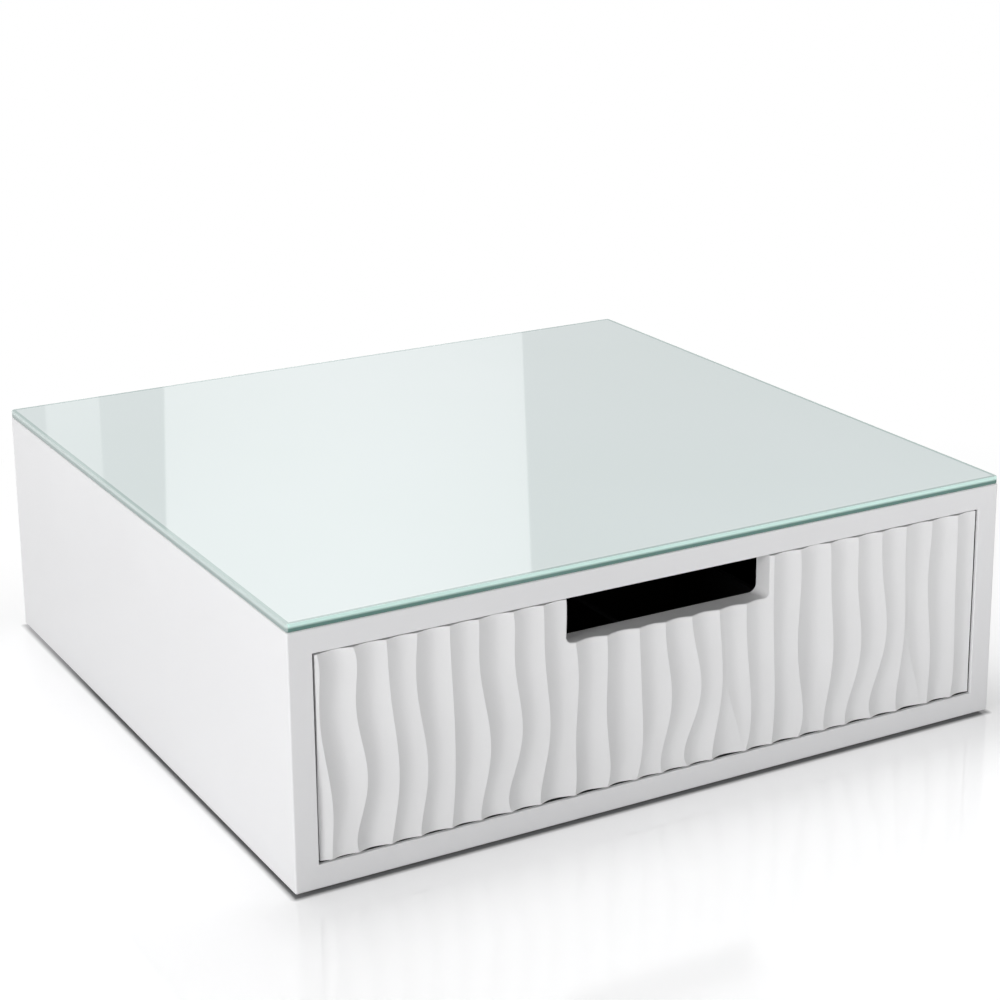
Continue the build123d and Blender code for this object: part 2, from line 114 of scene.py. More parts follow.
class PodDrawerStage(bpy.types.PropertyGroup):
    """The camera, the lights and the floor."""
    lens: bpy.props.FloatProperty(
        name="Lens", description="Focal length in millimetres", min=1.0, default=84.29)
    camera_place: bpy.props.FloatVectorProperty(
        name="Camera place", description="Where the camera stands", subtype="TRANSLATION", size=3,
        default=(-0.5791, -1.0633, 0.5111))
    camera_aim: bpy.props.FloatVectorProperty(
        name="Camera aim", description="The direction the camera looks in", subtype="DIRECTION", size=3,
        default=(0.4711, 0.8399, -0.2695))
    camera_roll: bpy.props.FloatProperty(
        name="Camera roll", description="Turn about the line of sight", subtype="ANGLE",
        default=math.radians(-0.531))
    shift_x: bpy.props.FloatProperty(name="Shift X", description="Sideways lens shift", default=-0.0064)
    shift_y: bpy.props.FloatProperty(name="Shift Y", description="Upright lens shift", default=-0.1317)
    floor_radius: length("Floor radius", "How far the floor reaches", 4.0)
    room: number("Room light", "Strength of the even light from all round", 0.10)
    key: number("Key light", "Watts of the large light on the left", 14.0)
    fill: number("Fill light", "Watts of the small light in front on the right", 0.85)
    top: number("Top light", "Watts of the light above", 25.5)
    panel: number("Rear panel", "Watts of the tall panel behind, which the glass mirrors", 0.045)
    strip: number("Rear strip", "Watts of the narrow strip beside the panel", 0.07)
    floor_glow: number("Floor glow", "How far the white table is lifted towards the background", 0.35)


def colours():
    return bpy.context.scene.pod_drawer_colours


def stage_values():
    return bpy.context.scene.pod_drawer_stage


# ---- materials ----
def new_material(name, roughness=0.5, metallic=0.0, tone=None):
    """A material with one Principled surface, and its even values set on the surface itself."""
    made = bpy.data.materials.new(name)
    made.use_nodes = True
    surface = made.node_tree.nodes["Principled BSDF"]
    surface.inputs["Roughness"].default_value = roughness
    surface.inputs["Metallic"].default_value = metallic
    if tone is not None:
        surface.inputs["Base Color"].default_value = (*tone, 1.0)
    return made, surface


def node(material, kind, inputs=(), **settings):
    """Adds one node. inputs maps a socket's name or number to a value or to another node's output."""
    made = material.node_tree.nodes.new(kind)
    for name, value in settings.items():
        setattr(made, name, value)
    for name, value in dict(inputs).items():
        if isinstance(value, bpy.types.NodeSocket):
            material.node_tree.links.new(value, made.inputs[name])
        else:
            made.inputs[name].default_value = value
    return made


def link(material, output, socket):
    material.node_tree.links.new(output, socket)


def place(material, scale=(1.0, 1.0, 1.0)):
    """The point on the piece, in metres, stretched along the axes by scale."""
    source = node(material, "ShaderNodeTexCoord").outputs["Object"]
    if tuple(scale) == (1.0, 1.0, 1.0):
        return source
    return node(material, "ShaderNodeMapping", {"Vector": source, "Scale": scale}).outputs["Vector"]


def noise(material, scale, detail=2.0, stretch=(1.0, 1.0, 1.0), rough=0.5):
    made = node(material, "ShaderNodeTexNoise", {
        "Vector": place(material, stretch), "Scale": scale, "Detail": detail, "Roughness": rough})
    return made.outputs["Fac"]


def between(material, value, low, high, from_low=0.3, from_high=0.7):
    """Spreads a value over a range."""
    made = node(material, "ShaderNodeMapRange", {
        "Value": value, "From Min": from_low, "From Max": from_high, "To Min": low, "To Max": high})
    return made.outputs["Result"]


def maths(material, operation, first, second=0.0):
    return node(material, "ShaderNodeMath", {0: first, 1: second}, operation=operation).outputs["Value"]


def vector_maths(material, operation, first, second=(0.0, 0.0, 0.0), output="Vector"):
    return node(material, "ShaderNodeVectorMath", {0: first, 1: second}, operation=operation).outputs[output]


def mix_colours(material, amount, first, second):
    made = node(material, "ShaderNodeMix", data_type="RGBA")
    for socket, value in ((made.inputs[0], amount), (made.inputs[6], first), (made.inputs[7], second)):
        if isinstance(value, bpy.types.NodeSocket):
            link(material, value, socket)
        elif socket is made.inputs[0]:
            socket.default_value = value
        else:
            socket.default_value = (*value, 1.0)
    return made.outputs[2]


def bump(material, surface, height, depth):
    """Roughens the surface by a height between 0 and 1, depth metres deep."""
    made = node(material, "ShaderNodeBump", {"Height": height, "Strength": 1.0, "Distance": depth})
    link(material, made.outputs["Normal"], surface.inputs["Normal"])


def shaded(tone, factor):
    return tuple(min(1.0, channel * factor) for channel in tone)


def dress(material, *names):
    """Gives carried-over nodes a finish."""
    for name in names:
        mesh = NODES[name].data
        for index in range(max(1, len(mesh.materials))):
            if index < len(mesh.materials):
                mesh.materials[index] = material
            else:
                mesh.materials.append(material)


def inside_bay(material):
    """1 on the faces that line the bay, from behind the front edge to the back board, and 0 elsewhere: where black is
    painted, partly as a black inside and partly as painted shade in the gaps round the drawer front.
    """
    point = node(material, "ShaderNodeSeparateXYZ", {0: place(material)}).outputs
    low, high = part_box("drawer_front")
    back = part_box("back_panel")[0].y
    inside = 1.0
    for operation, value, limit in (
            ("LESS_THAN", maths(material, "ABSOLUTE", point["X"]), high.x + BAY_SHADE_GAP),
            ("GREATER_THAN", point["Z"], low.z - BAY_SHADE_GAP),
            ("LESS_THAN", point["Z"], high.z + BAY_SHADE_GAP),
            ("GREATER_THAN", point["Y"], low.y + BAY_START),
            ("LESS_THAN", point["Y"], back + BAY_END)):
        inside = maths(material, "MULTIPLY", inside, maths(material, operation, value, limit))
    return inside


def lacquer_material(name, tone, roughness, peel_depth, black_and_shaded_bay=False):
    """Sprayed lacquer: nearly even, with a faint orange peel. The bay behind the front can be painted black, partly
    as a black inside and partly as painted shade in the gaps round the drawer front.
    """
    made, surface = new_material(name)
    surface.inputs["IOR"].default_value = 1.5
    drift = between(made, noise(made, 9.0, 3.0), 0.0, 1.0)
    tint = mix_colours(made, drift, shaded(tone, 0.985), shaded(tone, 1.01))
    # Black painted on the bay's faces: partly a black inside, partly painted shade in the gaps round the drawer
    # front.
    if black_and_shaded_bay:
        tint = mix_colours(made, inside_bay(made), tint, colours().black)
    link(made, tint, surface.inputs["Base Color"])
    patches = between(made, noise(made, 40.0, 3.0), roughness - 0.03, roughness + 0.03)
    link(made, patches, surface.inputs["Roughness"])
    bump(made, surface, noise(made, 420.0, 2.0), peel_depth)
    return made


def glass_material():
    """Back-painted float glass: pale from above, with a band of painted shade inside its rim that ends in a painted
    highlight line, and green at its edges, which carry painted light on their upper half and painted shade on their
    lower half.
    """
    tones = colours()
    low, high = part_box("glass_top")
    made, surface = new_material("glass_plate", roughness=0.03)
    surface.inputs["IOR"].default_value = 1.52
    point = node(made, "ShaderNodeSeparateXYZ", {0: place(made)}).outputs
    normal = node(made, "ShaderNodeSeparateXYZ", {0: node(made, "ShaderNodeTexCoord").outputs["Normal"]}).outputs
    from_side = maths(made, "SUBTRACT", high.x, maths(made, "ABSOLUTE", point["X"]))
    from_front = maths(made, "SUBTRACT", high.y, maths(made, "ABSOLUTE", point["Y"]))
    inward = maths(made, "MINIMUM", from_side, from_front)
    drift = between(made, noise(made, 6.0, 2.0), 0.0, 1.0)
    top = mix_colours(made, drift, shaded(tones.glass, 0.985), shaded(tones.glass, 1.01))
    # The band just inside the rim is painted shade, and the line where it ends is a painted highlight.
    highlight_start = between(made, inward, 0.0, 1.0, 2.0 * MM, 2.3 * MM)
    highlight_end = between(made, inward, 0.0, 1.0, 2.7 * MM, 3.1 * MM)
    rim = mix_colours(made, highlight_start, tones.glass_rim_painted_shade, tones.glass_line_painted_highlight)
    top = mix_colours(made, highlight_end, rim, top)
    # Painted light on the upper half of the edges and painted shade on the lower half, with their own tones on the
    # left and right edges.
    height = between(made, point["Z"], 0.0, 1.0, low.z, high.z)
    painted_shade_to_light = between(made, height, 0.0, 1.0, 0.40, 0.70)
    facing_side = between(made, maths(made, "ABSOLUTE", normal["X"]), 0.0, 1.0, 0.4, 0.6)
    deep = mix_colours(made, facing_side, tones.edge_painted_shade, tones.side_edge_painted_shade)
    lit = mix_colours(made, facing_side, tones.edge_painted_light, tones.side_edge_painted_light)
    edge = mix_colours(made, painted_shade_to_light, deep, lit)
    is_top = between(made, normal["Z"], 0.0, 1.0, 0.8, 0.95)
    link(made, mix_colours(made, is_top, edge, top), surface.inputs["Base Color"])
    return made


def board_material(name, tone, roughness):
    """Melamine-faced board with a fine, dense pressed grain."""
    made, surface = new_material(name)
    speck = noise(made, 900.0, 2.0)
    tint = mix_colours(made, between(made, speck, 0.0, 1.0), shaded(tone, 0.85), shaded(tone, 1.2))
    link(made, tint, surface.inputs["Base Color"])
    patches = between(made, noise(made, 60.0, 3.0), roughness - 0.05, roughness + 0.05)
    link(made, patches, surface.inputs["Roughness"])
    bump(made, surface, speck, 0.02 * MM)
    return made


def felt_material():
    """Pressed wool felt with pale fibre ends."""
    made, surface = new_material("felt", roughness=0.95)
    surface.inputs["Sheen Weight"].default_value = 0.25
    surface.inputs["Sheen Roughness"].default_value = 0.6
    fibres = noise(made, 1100.0, 4.0, rough=0.7)
    tone = colours().felt
    tint = mix_colours(made, between(made, fibres, 0.0, 1.0), shaded(tone, 0.6), shaded(tone, 1.8))
    link(made, tint, surface.inputs["Base Color"])
    bump(made, surface, fibres, 0.25 * MM)
    return made


def steel_material(name, tone, roughness, stretch):
    """Rolled steel with a drawn grain along its length and cloudy zinc."""
    made, surface = new_material(name, metallic=1.0)
    clouds = noise(made, 55.0, 4.0)
    tint = mix_colours(made, between(made, clouds, 0.0, 1.0), shaded(tone, 0.88), shaded(tone, 1.06))
    link(made, tint, surface.inputs["Base Color"])
    grain = noise(made, 300.0, 3.0, stretch)
    link(made, between(made, grain, roughness - 0.07, roughness + 0.08), surface.inputs["Roughness"])
    bump(made, surface, grain, 0.01 * MM)
    return made


def wood_material(name, pale, dark, stretch):
    """Bare wood with growth rings drawn out along the grain."""
    made, surface = new_material(name, roughness=0.6)
    rings = noise(made, 90.0, 5.0, stretch, rough=0.6)
    link(made, mix_colours(made, between(made, rings, 0.0, 1.0), pale, dark), surface.inputs["Base Color"])
    bump(made, surface, rings, 0.03 * MM)
    return made


def moulded_material(name, tone, roughness, softness=0.0):
    """Rubber and nylon: even, with a fine moulded grain."""
    made, surface = new_material(name, tone=tone)
    if softness:
        surface.inputs["Subsurface Weight"].default_value = softness
        surface.inputs["Subsurface Radius"].default_value = (1.5 * MM, 1.5 * MM, 1.5 * MM)
    fine = noise(made, 1500.0, 2.0)
    link(made, between(made, fine, roughness - 0.05, roughness + 0.05), surface.inputs["Roughness"])
    bump(made, surface, fine, 0.015 * MM)
    return made


def floor_material(glow):
    """Glossy white that mirrors the box close by and fades to the white of the background further out. Under the box
    and within 3 mm of it the colour is darkened as a painted contact shadow, and close by the glow is dimmed as
    painted shade.
    """
    made, surface = new_material("pale_floor")
    surface.inputs["IOR"].default_value = 1.9
    outwards = vector_maths(made, "ABSOLUTE", place(made))
    outwards = vector_maths(made, "SUBTRACT", outwards, (BOX_HALF_WIDTH, BOX_HALF_DEPTH, 0.0))
    outwards = vector_maths(made, "MAXIMUM", outwards)
    beside = vector_maths(made, "LENGTH", outwards, output="Value")
    # Painted contact shadow: the floor is dark grey under the box and within 3 mm of it.
    past_painted_shadow = between(made, beside, 0.0, 1.0, 0.0, 3 * MM)
    link(made, mix_colours(made, past_painted_shadow, (0.30, 0.30, 0.305), (0.85, 0.85, 0.855)), surface.inputs["Base Color"])
    link(made, between(made, beside, 0.02, 0.14, 20 * MM, 160 * MM), surface.inputs["Roughness"])

    # Painted shade: the glow is weaker close to the box.
    painted_shade_ramp = between(made, beside, 0.65, 1.0, 20 * MM, 130 * MM)
    lift = maths(made, "MULTIPLY", maths(made, "MULTIPLY", painted_shade_ramp, past_painted_shadow), glow)
    seen = node(made, "ShaderNodeLightPath").outputs["Is Camera Ray"]
    surface.inputs["Emission Color"].default_value = (1.0, 1.0, 1.0, 1.0)
    link(made, maths(made, "MULTIPLY", seen, lift), surface.inputs["Emission Strength"])

    reach = vector_maths(made, "DISTANCE", place(made), (-0.15, -0.35, 0.0), output="Value")
    far = between(made, reach, 0.0, 1.0, 0.42, 0.85)
    white = node(made, "ShaderNodeEmission", {"Color": (1.0, 1.0, 1.0, 1.0), "Strength": 1.0})
    blend = node(made, "ShaderNodeMixShader", {0: far, 1: surface.outputs[0], 2: white.outputs[0]})
    out = [n for n in made.node_tree.nodes if n.type == "OUTPUT_MATERIAL"][0]
    link(made, blend.outputs[0], out.inputs["Surface"])
    return made


# ---- modelling ----
def start_piece(name, add, **settings):
    """Adds a primitive as the start of a piece and leaves it in edit mode, all selected."""
    if bpy.context.mode != "OBJECT":
        bpy.ops.object.mode_set(mode="OBJECT")
    bpy.ops.object.select_all(action="DESELECT")
    add(**settings)
    made = bpy.context.object
    made.name = name
    bpy.ops.object.mode_set(mode="EDIT")
    bpy.ops.mesh.select_mode(type="VERT")
    bpy.ops.mesh.select_all(action="SELECT")
    return made


def pick(piece, kind, test):
    """In edit mode, selects only the verts, edges or faces that pass a test on their points."""
    bpy.ops.mesh.select_mode(type=kind)
    bpy.ops.mesh.select_all(action="DESELECT")
    mesh = bmesh.from_edit_mesh(piece.data)
    parts = {"VERT": mesh.verts, "EDGE": mesh.edges, "FACE": mesh.faces}[kind]
    for part in parts:
        points = [part.co] if kind == "VERT" else [vert.co for vert in part.verts]
        if test(points):
            part.select_set(True)
    bmesh.update_edit_mesh(piece.data)


def done(piece, angle=None):
    """Leaves edit mode, with the place in the mesh and not on the object."""
    if bpy.context.mode != "OBJECT":
        bpy.ops.object.mode_set(mode="OBJECT")
    only(piece)
    bpy.ops.object.transform_apply(location=True, rotation=True, scale=True)
    bpy.ops.object.mode_set(mode="EDIT")
    bpy.ops.mesh.select_all(action="SELECT")
    bpy.ops.mesh.normals_make_consistent(inside=False)
    bpy.ops.object.mode_set(mode="OBJECT")
    if angle is not None:
        bpy.ops.object.shade_smooth_by_angle(angle=math.radians(angle))
    return piece


def only(*pieces):
    bpy.ops.object.select_all(action="DESELECT")
    for piece in pieces:
        piece.select_set(True)
    bpy.context.view_layer.objects.active = pieces[0]


def apply_modifier(piece, kind, **settings):
    only(piece)
    added = piece.modifiers.new(kind.lower(), kind)
    for name, value in settings.items():
        setattr(added, name, value)
    bpy.ops.object.modifier_apply(modifier=added.name)


def cut(piece, cutter):
    apply_modifier(piece, "BOOLEAN", operation="DIFFERENCE", solver="EXACT", object=cutter)
    bpy.data.objects.remove(cutter)


def copy_of(piece, name):
    """A copy with its own mesh."""
    only(piece)
    bpy.ops.object.duplicate()
    made = bpy.context.object
    made.name = name
    return made


def joined(name, pieces):
    only(*pieces)
    bpy.ops.object.join()
    bpy.context.object.name = name
    return bpy.context.object


def mirrored_copy(piece, name):
    """The same piece on the other side of the box."""
    made = copy_of(piece, name)
    bpy.ops.object.mode_set(mode="EDIT")
    bpy.ops.mesh.select_all(action="SELECT")
    bpy.ops.transform.resize(value=(-1.0, 1.0, 1.0), center_override=(0.0, 0.0, 0.0))
    return done(made)


def folded_strip(name, path, start_y, end_y, sheet, bend):
    """Sheet metal folded along a path of (x, z) points and drawn out along Y."""
    made = start_piece(name, bpy.ops.mesh.primitive_plane_add, size=sheet)
    bpy.ops.mesh.merge(type="CENTER")
    bpy.ops.transform.translate(value=(path[0][0], start_y, path[0][1]))
    for (x0, z0), (x1, z1) in zip(path, path[1:]):
        bpy.ops.mesh.extrude_vertices_move(TRANSFORM_OT_translate={"value": (x1 - x0, 0.0, z1 - z0)})
    bpy.ops.mesh.select_all(action="SELECT")
    bpy.ops.mesh.extrude_region_move(TRANSFORM_OT_translate={"value": (0.0, end_y - start_y, 0.0)})
    folds = path[1:-1]

    def is_fold(points):
        first, second = points
        return abs(first.y - second.y) > sheet and any(
            math.hypot(first.x - x, first.z - z) < sheet / 10 for x, z in folds)

    pick(made, "EDGE", is_fold)
    bpy.ops.mesh.bevel(offset=bend, segments=5, affect="EDGES")
    bpy.ops.object.mode_set(mode="OBJECT")
    apply_modifier(made, "SOLIDIFY", thickness=sheet, offset=0.0, use_even_offset=True)
    return done(made, 35)


def slot_cutter(x, y, z, length, height):
    """An upright-walled oblong that runs along Y, for cutting a slot through a web."""
    made = start_piece("slot_cutter", bpy.ops.mesh.primitive_cube_add, size=1.0)
    bpy.ops.transform.resize(value=(6 * MM, length, height))
    pick(made, "EDGE", lambda points: abs(points[0].x - points[1].x) > MM)
    bpy.ops.mesh.bevel(offset=height * 0.499, segments=6, affect="EDGES")
    bpy.ops.mesh.select_all(action="SELECT")
    bpy.ops.transform.translate(value=(x, y, z))
    return done(made)


def screw_model(name, length):
    """A countersunk screw: its flat head faces +Z at the origin, with a cross recess, and it is threaded."""
    head, shank, head_height = 3.15 * MM, 1.5 * MM, 1.6 * MM
    made = start_piece(name, bpy.ops.mesh.primitive_circle_add, vertices=32, radius=head, fill_type="NGON")
    bpy.ops.mesh.extrude_region_move(TRANSFORM_OT_translate={"value": (0.0, 0.0, -head_height)})
    bpy.ops.transform.resize(value=(shank / head, shank / head, 1.0), center_override=(0.0, 0.0, 0.0))
    pitch = 1.0 * MM
    turns = int((length - head_height - 2 * MM) / pitch)
    for turn in range(2 * turns):
        bpy.ops.mesh.extrude_region_move(TRANSFORM_OT_translate={"value": (0.0, 0.0, -pitch / 2)})
        step = 0.72 if turn % 2 == 0 else 1 / 0.72
        bpy.ops.transform.resize(value=(step, step, 1.0), center_override=(0.0, 0.0, 0.0))
    bpy.ops.mesh.extrude_region_move(TRANSFORM_OT_translate={"value": (0.0, 0.0, -1.6 * MM)})
    bpy.ops.transform.resize(value=(0.08, 0.08, 1.0), center_override=(0.0, 0.0, 0.0))
    done(made, 40)
    for turned in (0.0, math.pi / 2):
        arm = start_piece("recess_cutter", bpy.ops.mesh.primitive_cube_add, size=1.0)
        bpy.ops.transform.resize(value=(3.4 * MM, 0.8 * MM, 2.4 * MM))
        pick(arm, "FACE", lambda points: all(point.z < 0 for point in points))
        bpy.ops.transform.resize(value=(0.35, 0.7, 1.0), center_override=(0.0, 0.0, 0.0))
        bpy.ops.mesh.select_all(action="SELECT")
        bpy.ops.transform.rotate(value=turned, orient_axis="Z", center_override=(0.0, 0.0, 0.0))
        done(arm)
        cut(made, arm)
    return made


def screw_set(name, model, places):
    """Copies of a screw as one piece. Each place is the middle of its head and the side, -1 or 1, it faces."""
    copies = []
    for index, (start, facing) in enumerate(places):
        one = copy_of(model, "%s_%d" % (name, index))
        twist = Matrix.Rotation(math.radians(37 * index % 90), 4, "Z")
        one.matrix_world = Matrix.Translation(start) @ Matrix.Rotation(facing * math.pi / 2, 4, "Y") @ twist
        copies.append(one)
    bpy.data.objects.remove(model)
    return done(joined(name, copies))


# ---- operators ----
class POD_OT_lacquered_box(bpy.types.Operator):
    """Finish the four boards and the back in satin white"""
    bl_idname = "pod_drawer.lacquered_box"
    bl_label = "Lacquered box"

    def execute(self, context):
        # The bay's black on these boards is partly painted shade.
        finish = lacquer_material("white_lacquer_satin", colours().lacquer, 0.32, 0.012 * MM, black_and_shaded_bay=True)
        dress(finish, "left_side_panel", "right_side_panel", "top_panel", "base_panel", "back_panel")
        return {"FINISHED"}


class POD_OT_glass_plate(bpy.types.Operator):
    """Finish the glass plate"""
    bl_idname = "pod_drawer.glass_plate"
    bl_label = "Glass plate"

    def execute(self, context):
        dress(glass_material(), "glass_top")
        return {"FINISHED"}


class POD_OT_carved_front(bpy.types.Operator):
    """Finish the carved drawer front"""
    bl_idname = "pod_drawer.carved_front"
    bl_label = "Carved front"

    def execute(self, context):
        dress(lacquer_material("carved_lacquer", colours().carved, 0.42, 0.010 * MM), "drawer_front")
        return {"FINISHED"}


class POD_OT_drawer_boards(bpy.types.Operator):
    """Finish the drawer's box and its dividers in black faced board"""
    bl_idname = "pod_drawer.drawer_boards"
    bl_label = "Drawer boards"

    def execute(self, context):
        finish = board_material("black_faced_board", colours().black, 0.5)
        boards = [name for name in NODES if "divider" in name]
        dress(finish, "drawer_left_side", "drawer_right_side", "drawer_back", "drawer_bottom", *boards)
        return {"FINISHED"}


class POD_OT_felt_mat(bpy.types.Operator):
    """Lay a felt mat on the drawer's bottom"""
    bl_idname = "pod_drawer.felt_mat"
    bl_label = "Felt mat"

    def execute(self, context):
        low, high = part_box("drawer_liner")
        width, depth = high.x - low.x, high.y - low.y
        middle = (low + high) / 2
        mat = start_piece("felt_mat", bpy.ops.mesh.primitive_grid_add, x_subdivisions=56, y_subdivisions=56, size=1.0)
        bpy.ops.transform.resize(value=(width, depth, 1.0), center_override=(0.0, 0.0, 0.0))
        bpy.ops.transform.translate(value=middle)
        bpy.ops.object.mode_set(mode="OBJECT")
        apply_modifier(mat, "SOLIDIFY", thickness=FELT_THICKNESS, offset=0.0)
        bpy.ops.object.mode_set(mode="EDIT")

        def on_rim(points):
            near = FELT_THICKNESS / 10
            level = abs(points[0].z - points[1].z) < near
            return level and any(
                all(abs(abs(point[axis] - middle[axis]) - half) < near for point in points)
                for axis, half in ((0, width / 2), (1, depth / 2)))

        pick(mat, "EDGE", on_rim)
        bpy.ops.mesh.bevel(offset=0.35 * MM, segments=2, affect="EDGES")
        bpy.ops.object.mode_set(mode="OBJECT")
        lumps = bpy.data.textures.new("felt_lumps", "CLOUDS")
        lumps.noise_scale = 0.012
        apply_modifier(mat, "DISPLACE", texture=lumps, direction="Z", strength=0.2 * MM, mid_level=0.5)
        done(mat, 60)
        mat.data.materials.append(felt_material())
        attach(mat, "drawer")
        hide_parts("drawer_liner")
        return {"FINISHED"}


class POD_OT_rails(bpy.types.Operator):
    """Fold the four rails of the runners, with round bends, slots and screw holes"""
    bl_idname = "pod_drawer.rails"
    bl_label = "Rails"

    def execute(self, context):
        finish = steel_material("zinc_rail", colours().zinc, 0.30, (1.0, 0.06, 1.0))
        middle = (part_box("left_cabinet_rail")[0].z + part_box("left_cabinet_rail")[1].z) / 2

        low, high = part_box("left_cabinet_rail")
        sheet = 1.0 * MM
        self.make_pair(
            "cabinet_rail", "carcass", finish, (low.y, high.y), middle, sheet, bend=1.1 * MM,
            web=low.x + sheet / 2, lip=high.x - sheet / 2,
            reach=high.z - middle - sheet / 2, lip_end=high.z - middle - 2.4 * MM,
            slot_length=20 * MM, slot_height=7 * MM)

        low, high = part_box("left_drawer_rail")
        sheet = 0.8 * MM
        self.make_pair(
            "drawer_rail", "drawer", finish, (low.y, high.y), middle, sheet, bend=0.8 * MM,
            web=high.x - sheet / 2, lip=low.x + sheet / 2,
            reach=high.z - middle - 1.6 * MM, lip_end=high.z - middle - 0.1 * MM,
            slot_length=16 * MM, slot_height=4.5 * MM)
        return {"FINISHED"}

    def make_pair(self, kind, body, finish, ends, middle, sheet, bend, web, lip, reach, lip_end,
                  slot_length, slot_height):
        """Folds the left rail. Its flanges leave the web, reach above and below its middle, and end in lips."""
        path = [(lip, middle + lip_end), (lip, middle + reach), (web, middle + reach),
                (web, middle - reach), (lip, middle - reach), (lip, middle - lip_end)]
        rail = folded_strip("left_" + kind + "_folded", path, *ends, sheet, bend)
        for y in RAIL_SLOTS:
            cut(rail, slot_cutter(web, y, middle, slot_length, slot_height))
        for y in RAIL_SCREWS:
            hole = start_piece("hole_cutter", bpy.ops.mesh.primitive_cylinder_add, vertices=36,
                               radius=RAIL_HOLE_RADIUS, depth=5 * MM, rotation=(0.0, math.pi / 2, 0.0))
            bpy.ops.transform.translate(value=(web, y, middle))
            cut(rail, done(hole))
        done(rail, 35)
        rail.data.materials.append(finish)
        for side, piece in (("left_", rail), ("right_", mirrored_copy(rail, "right_" + kind + "_folded"))):
            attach(piece, body)
            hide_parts(side + kind)


class POD_OT_screws(bpy.types.Operator):
    """Set the countersunk screws of the rails and of the drawer's back"""
    bl_idname = "pod_drawer.screws"
    bl_label = "Screws"

    def execute(self, context):
        finish = steel_material("zinc_screw", shaded(colours().zinc, 0.95), 0.34, (1.0, 1.0, 1.0))
        sides = (-1, 1)
        low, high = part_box("cabinet_rail_screws")
        level = (low.z + high.z) / 2
        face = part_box("right_cabinet_rail")[1].x - 1.0 * MM
        cabinet = [((side * face, y, level), -side) for side in sides for y in RAIL_SCREWS]
        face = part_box("right_drawer_rail")[0].x + 0.8 * MM
        drawer = [((side * face, y, level), side) for side in sides for y in RAIL_SCREWS]
        low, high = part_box("back_screws")
        head = 3.2 * MM
        back = [((side * high.x, (low.y + high.y) / 2, z), side)
                for side in sides for z in (low.z + head, high.z - head)]
        for node_name, body, length, places in (
                ("cabinet_rail_screws", "carcass", 9.5 * MM, cabinet),
                ("drawer_rail_screws", "drawer", 7.8 * MM, drawer),
                ("back_screws", "drawer", 29.5 * MM, back)):
            made = screw_set(node_name + "_crossed", screw_model("screw_model", length), places)
            made.data.materials.clear()
            made.data.materials.append(finish)
            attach(made, body)
            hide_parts(node_name)
        return {"FINISHED"}


class POD_OT_cages(bpy.types.Operator):
    """Finish the ball cages and the balls"""
    bl_idname = "pod_drawer.cages"
    bl_label = "Ball cages"

    def execute(self, context):
        zinc = colours().zinc
        cage = steel_material("cage_steel_strip", shaded(zinc, 0.85), 0.38, (1.0, 0.06, 1.0))
        ball = steel_material("polished_ball", shaded(zinc, 1.15), 0.12, (1.0, 1.0, 1.0))
        for side in ("left", "right"):
            dress(cage, side + "_ball_cage")
            dress(ball, side + "_balls")
        return {"FINISHED"}


class POD_OT_pads(bpy.types.Operator):
    """Finish the feet, the bumpers and the rail stops"""
    bl_idname = "pod_drawer.pads"
    bl_label = "Pads"

    def execute(self, context):
        feet = [name for name in NODES if name.startswith("foot_")]
        dress(moulded_material("black_rubber", (0.02, 0.02, 0.02), 0.75), *feet)
        dress(moulded_material("clear_rubber", (0.62, 0.63, 0.62), 0.35, 0.4),
              "left_rear_bumper", "right_rear_bumper")
        dress(moulded_material("white_nylon", (0.76, 0.76, 0.72), 0.45, 0.2), "left_rail_stop", "right_rail_stop")
        return {"FINISHED"}


class POD_OT_joinery(bpy.types.Operator):
    """Finish the splines, the dowels and the bonding discs"""
    bl_idname = "pod_drawer.joinery"
    bl_label = "Joinery"

    def execute(self, context):
        along = (1.0, 0.05, 1.0)
        dress(wood_material("birch_ply", (0.66, 0.50, 0.33), (0.50, 0.35, 0.20), along), "mitre_splines")
        dress(wood_material("beech_dowel", (0.60, 0.40, 0.25), (0.48, 0.29, 0.16), along), "front_dowels")
        dress(moulded_material("clear_bond", (0.75, 0.77, 0.76), 0.15, 0.3), "glass_bonding_discs")
        return {"FINISHED"}


def camera_visible_white(tree, shader_node, strength_elsewhere):
    """White where the camera, a reflection or a clear piece looks at the background, dimmer for the rest."""
    path = tree.nodes.new("ShaderNodeLightPath")
    seen = tree.nodes.new("ShaderNodeMath")
    seen.operation = "MAXIMUM"
    tree.links.new(path.outputs["Is Camera Ray"], seen.inputs[0])
    tree.links.new(path.outputs["Is Glossy Ray"], seen.inputs[1])
    also = tree.nodes.new("ShaderNodeMath")
    also.operation = "MAXIMUM"
    tree.links.new(seen.outputs[0], also.inputs[0])
    tree.links.new(path.outputs["Is Transmission Ray"], also.inputs[1])
    spread = tree.nodes.new("ShaderNodeMapRange")
    spread.inputs["To Min"].default_value = strength_elsewhere
    spread.inputs["To Max"].default_value = 1.0
    tree.links.new(also.outputs[0], spread.inputs["Value"])
    tree.links.new(spread.outputs["Result"], shader_node.inputs["Strength"])


def softbox(name, place, target, size_x, size_y, watts):
    lamp = bpy.data.lights.new(name, "AREA")
    lamp.shape = "RECTANGLE"
    lamp.size, lamp.size_y = size_x, size_y
    lamp.energy = watts
    holder = bpy.data.objects.new(name, lamp)
    bpy.context.scene.collection.objects.link(holder)
    holder.location = place
    holder.rotation_euler = (Vector(target) - Vector(place)).to_track_quat("-Z", "Y").to_euler()
    holder.visible_camera = False
    return holder


def lay_floor(values):
    bpy.ops.object.select_all(action="DESELECT")
    bpy.ops.mesh.primitive_circle_add(
        vertices=96, radius=values.floor_radius, fill_type="NGON", location=(0.0, 0.0, 0.0))
    floor = bpy.context.object
    floor.name = "floor"
    floor.data.materials.append(floor_material(values.floor_glow))


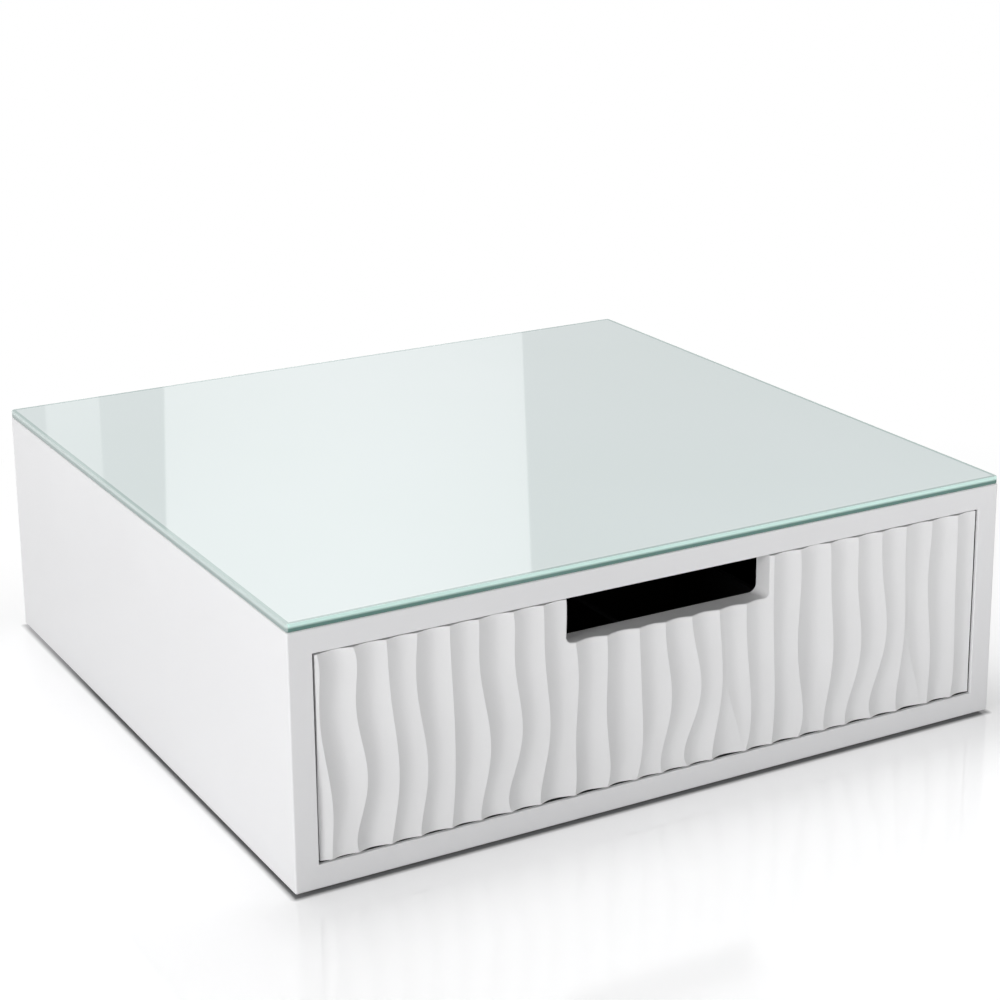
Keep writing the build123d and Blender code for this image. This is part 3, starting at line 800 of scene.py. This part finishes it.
def hang_lights(values):
    middle = (0.0, 0.0, 0.07)
    softbox("key_light", (-1.49, -0.78, 0.36), middle, 0.68, 0.68, values.key)
    softbox("fill_light", (0.33, -0.67, 0.27), (0.0, -0.2, 0.06), 0.31, 0.31, values.fill)
    softbox("top_light", (-0.3, 0.35, 2.3), middle, 1.4, 1.2, values.top)
    # These two stand behind the box as the bright bands that the glass mirrors.
    panel = softbox("rear_panel", (0.72, 1.70, 0.85), (-0.58, -1.06, -0.51), 0.50, 1.0, values.panel)
    panel.data.spread = math.radians(30)
    softbox("rear_strip", (0.365, 1.785, 0.85), (-0.58, -1.06, 0.85), 0.07, 1.0, values.strip)


def place_camera(scene, values):
    lens = bpy.data.cameras.new("camera")
    lens.lens = values.lens
    lens.sensor_width = 36.0
    lens.shift_x = values.shift_x
    lens.shift_y = values.shift_y
    lens.clip_start, lens.clip_end = 0.01, 50.0
    camera = bpy.data.objects.new("camera", lens)
    scene.collection.objects.link(camera)
    camera.rotation_mode = "QUATERNION"
    camera.location = values.camera_place
    aim = Vector(values.camera_aim).to_track_quat("-Z", "Y")
    camera.rotation_quaternion = aim @ Matrix.Rotation(values.camera_roll, 3, "Z").to_quaternion()
    scene.camera = camera


class POD_OT_stage(bpy.types.Operator):
    """Lay a pale floor, hang the lights and place the camera"""
    bl_idname = "pod_drawer.stage"
    bl_label = "Stage"

    def execute(self, context):
        values = stage_values()
        scene = context.scene
        scene.view_settings.view_transform = "Standard"
        world = bpy.data.worlds.new("white_room")
        scene.world = world
        world.use_nodes = True
        background = world.node_tree.nodes["Background"]
        background.inputs["Color"].default_value = (1.0, 1.0, 1.0, 1.0)
        camera_visible_white(world.node_tree, background, values.room)
        lay_floor(values)
        hang_lights(values)
        place_camera(scene, values)
        return {"FINISHED"}


STEPS = (POD_OT_lacquered_box, POD_OT_glass_plate, POD_OT_carved_front, POD_OT_drawer_boards,
         POD_OT_felt_mat, POD_OT_rails, POD_OT_screws, POD_OT_cages, POD_OT_pads, POD_OT_joinery, POD_OT_stage)


class POD_PT_panel(bpy.types.Panel):
    """Everything that dresses the pod drawer, in order"""
    bl_idname = "POD_PT_panel"
    bl_label = "Pod Drawer"
    bl_space_type = "VIEW_3D"
    bl_region_type = "UI"
    bl_category = "Pod Drawer"

    def draw(self, context):
        for step in STEPS:
            self.layout.operator(step.bl_idname)
        for group in (context.scene.pod_drawer_colours, context.scene.pod_drawer_stage):
            box = self.layout.box()
            for name in group.bl_rna.properties.keys():
                if name not in ("rna_type", "name"):
                    box.prop(group, name)


CLASSES = (PodDrawerColours, PodDrawerStage, *STEPS, POD_PT_panel)


def register():
    for cls in CLASSES:
        bpy.utils.register_class(cls)
    bpy.types.Scene.pod_drawer_colours = bpy.props.PointerProperty(type=PodDrawerColours)
    bpy.types.Scene.pod_drawer_stage = bpy.props.PointerProperty(type=PodDrawerStage)


def unregister():
    del bpy.types.Scene.pod_drawer_stage
    del bpy.types.Scene.pod_drawer_colours
    for cls in reversed(CLASSES):
        bpy.utils.unregister_class(cls)


def main():
    register()
    for step in STEPS:
        group, name = step.bl_idname.split(".")
        getattr(getattr(bpy.ops, group), name)()


if __name__ == "__main__":
    main()
